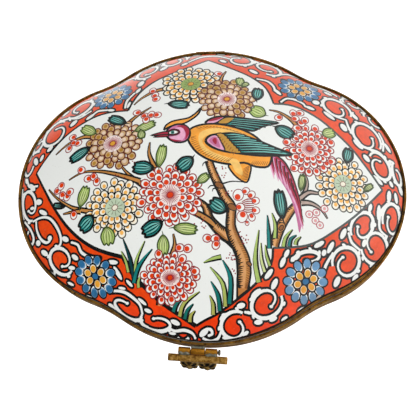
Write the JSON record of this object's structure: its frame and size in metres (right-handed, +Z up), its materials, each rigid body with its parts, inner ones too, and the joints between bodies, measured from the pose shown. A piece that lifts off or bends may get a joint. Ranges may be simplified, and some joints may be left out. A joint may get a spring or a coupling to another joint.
{
  "type": "faience jewelry box",
  "caption": "Hollow lobed jewelry box of painted faience with a hinged domed lid, brass rim bands and a hanging front clasp.",
  "frame": {"origin": "centre of the box's footprint, clasp and hinge included, on the plane that the foot ring stands on", "axes": "+X to the right along the box's length, +Y to the back where the hinge is, +Z up; the clasp faces -Y"},
  "size_m": [0.15, 0.1307, 0.0768],
  "materials": {
    "faience": "opaque white tin glaze with painted enamels, glossy",
    "brass": "aged gilt brass, worn and patinated"
  },
  "bodies": {
    "base": {"body_shell": "faience", "body_mount": "brass", "hinge_knuckle_left": "brass", "hinge_knuckle_right": "brass", "hinge_pin": "brass", "clasp_catch": "brass"},
    "lid": {"lid_shell": "faience", "lid_mount": "brass", "hinge_lid_knuckle": "brass", "clasp_lug": "brass", "clasp_pin": "brass"},
    "clasp": {"clasp_hasp": "brass"}
  },
  "joints": [
    {"name": "lid_hinge", "type": "hinge", "parent": "base", "child": "lid", "pos_m": [0, 0.06429, 0.04515], "axis": [-1, 0, 0], "range_deg": [0, 100]},
    {"name": "clasp_hinge", "type": "hinge", "parent": "lid", "child": "clasp", "pos_m": [-0.00449, -0.058, 0.0478], "axis": [-0.9974, 0.0724, 0], "range_deg": [0, 100]}
  ]
}
